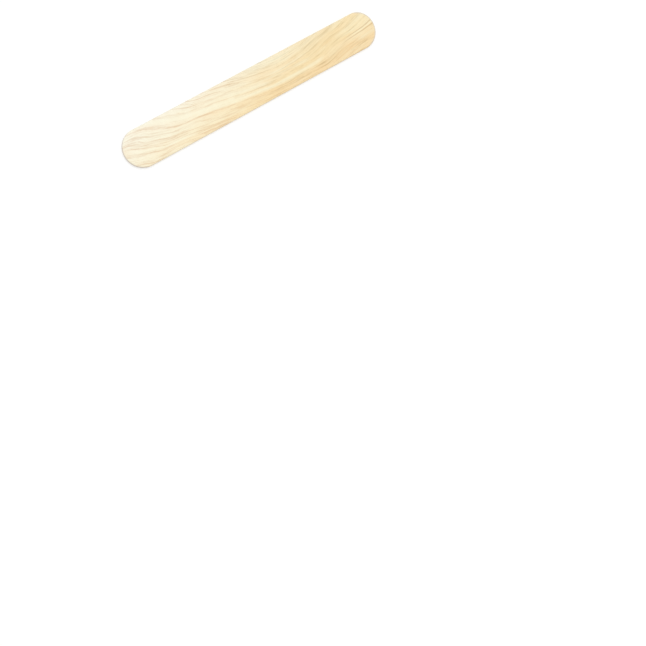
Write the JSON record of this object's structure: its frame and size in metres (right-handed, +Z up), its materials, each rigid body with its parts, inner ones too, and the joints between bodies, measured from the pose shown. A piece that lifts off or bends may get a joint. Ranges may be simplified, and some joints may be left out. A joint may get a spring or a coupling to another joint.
{
  "type": "paint stirring stick",
  "caption": "Flat wooden stick with full round ends and softened edges, for stirring and mixing small pots of paint.",
  "frame": {"origin": "middle of the underside, on the surface that the stick lies on", "axes": "+X along the stick, towards the end that lies at the upper right in the picture; +Y across it; +Z up through its thickness"},
  "size_m": [0.15, 0.019, 0.002],
  "materials": {
    "birch_wood": "matte"
  },
  "bodies": {
    "root": {"stirring_stick": "birch_wood"}
  },
  "joints": []
}
